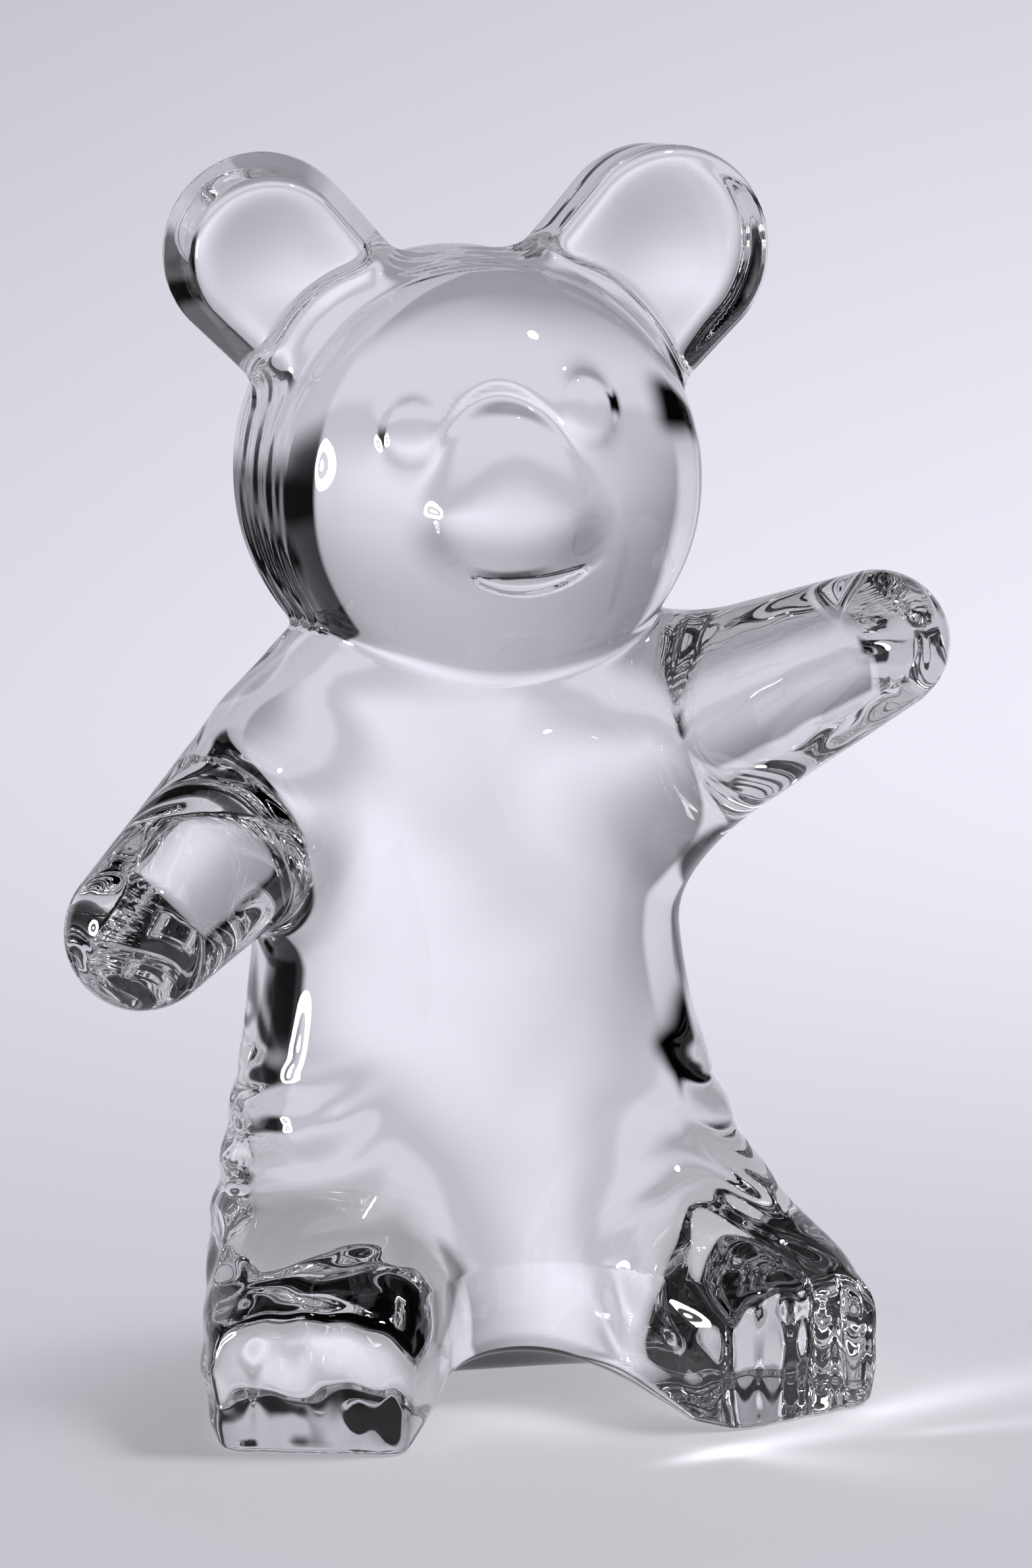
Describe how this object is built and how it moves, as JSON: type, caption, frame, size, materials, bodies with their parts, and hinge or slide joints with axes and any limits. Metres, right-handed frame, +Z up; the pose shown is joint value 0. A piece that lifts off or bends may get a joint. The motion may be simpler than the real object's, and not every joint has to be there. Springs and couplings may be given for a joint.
{
  "type": "glass figurine",
  "caption": "Seated bear figurine in solid clear crystal glass, waving with a raised arm, with dished round ears and flat soles, resting on a flat underside.",
  "frame": {"origin": "middle of the body on the flat underside, at the height of the table", "axes": "+Z up, -Y out of the bear's face and soles, +X towards the bear's own left, which is the raised arm"},
  "size_m": [0.089, 0.049, 0.1245],
  "materials": {
    "crystal": "fire-polished, clear and colourless"
  },
  "bodies": {
    "root": {"torso": "crystal", "head": "crystal", "muzzle": "crystal", "ear_left": "crystal", "ear_right": "crystal", "arm_left": "crystal", "arm_right": "crystal", "leg_left": "crystal", "leg_right": "crystal"}
  },
  "joints": []
}
